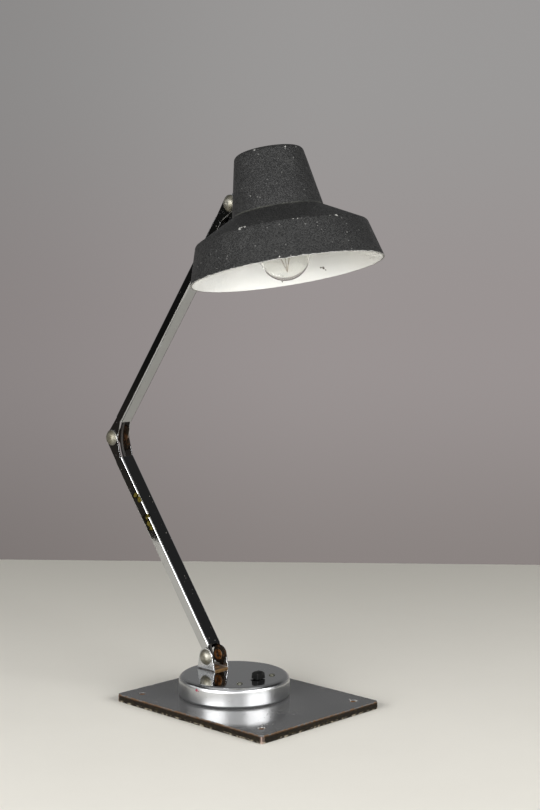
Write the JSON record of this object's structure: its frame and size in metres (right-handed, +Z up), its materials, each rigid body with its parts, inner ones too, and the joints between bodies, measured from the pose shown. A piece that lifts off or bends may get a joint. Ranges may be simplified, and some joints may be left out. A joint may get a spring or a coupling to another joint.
{
  "type": "folding-arm desk lamp",
  "caption": "Desk lamp with a bell-shaped shade on a two-piece folding arm, friction pivots, a round drum base with a slide switch, on a rectangular board.",
  "frame": {"origin": "middle of the board's underside, where the lamp stands", "axes": "+Z up, +X the way the shade looks out, +Y across the lamp along the pivots"},
  "size_m": [0.2168, 0.1156, 0.3408],
  "materials": {
    "board_core": "dark hardboard, rough chipped edge",
    "black_laminate": "glossy, scuffed",
    "mirror_chrome": "polished, spotted with rust",
    "nickel_rivets": "nickel plate, tarnished",
    "brass": "dull",
    "zinc_steel": "zinc plate",
    "crinkle_black": "fine crinkle, chipped edges",
    "white_enamel": "gloss",
    "black_plastic": "moulded",
    "insulator": "pressed fibre",
    "black_rubber": "moulded",
    "clear_glass": "clear",
    "tungsten": "fine wire",
    "lead_insulation": "two-core flex, shown as one round lead"
  },
  "bodies": {
    "base": {"base_board": "board_core", "board_laminate": "black_laminate", "base_drum": "mirror_chrome", "drum_floor": "zinc_steel", "drum_screws": "zinc_steel", "base_clevis": "mirror_chrome", "clevis_eyelet": "brass", "base_pivot_rivets": "nickel_rivets", "switch_body": "black_plastic", "switch_terminals": "brass", "switch_rivets": "brass", "cord_bushing": "black_rubber", "base_lead": "lead_insulation"},
    "knob": {"switch_knob": "black_plastic"},
    "lower": {"lower_arm": "mirror_chrome", "elbow_rivets": "nickel_rivets", "lower_lead": "lead_insulation", "elbow_lead": "lead_insulation"},
    "upper": {"upper_arm": "mirror_chrome", "head_rivets": "nickel_rivets", "upper_lead": "lead_insulation", "head_lead": "lead_insulation"},
    "head": {"shade_shell": "crinkle_black", "shade_reflector": "white_enamel", "head_bracket": "mirror_chrome", "bracket_rivets": "zinc_steel", "socket_strap": "zinc_steel", "lamp_socket": "brass", "socket_insulator": "insulator", "socket_contact": "brass", "bulb_cap": "brass", "bulb_globe": "clear_glass", "bulb_stem": "clear_glass", "bulb_filament": "tungsten", "socket_lead": "lead_insulation"}
  },
  "joints": [
    {"name": "base_pivot", "type": "hinge", "parent": "base", "child": "lower", "pos_m": [-0.03, 0, 0.0258], "axis": [0, 1, 0], "range_deg": [-20, 35], "deforming": ["base_lead"]},
    {"name": "elbow_pivot", "type": "hinge", "parent": "lower", "child": "upper", "pos_m": [-0.12084, 0, 0.15663], "axis": [0, 1, 0], "range_deg": [-70, 40], "deforming": ["elbow_lead"]},
    {"name": "head_pivot", "type": "hinge", "parent": "upper", "child": "head", "pos_m": [-0.00957, 0, 0.30755], "axis": [0, 1, 0], "range_deg": [-75, 12], "deforming": ["head_lead"]},
    {"name": "switch_slide", "type": "slide", "parent": "base", "child": "knob", "axis": [0, 1, 0], "range_m": [-0.004, 0]}
  ]
}
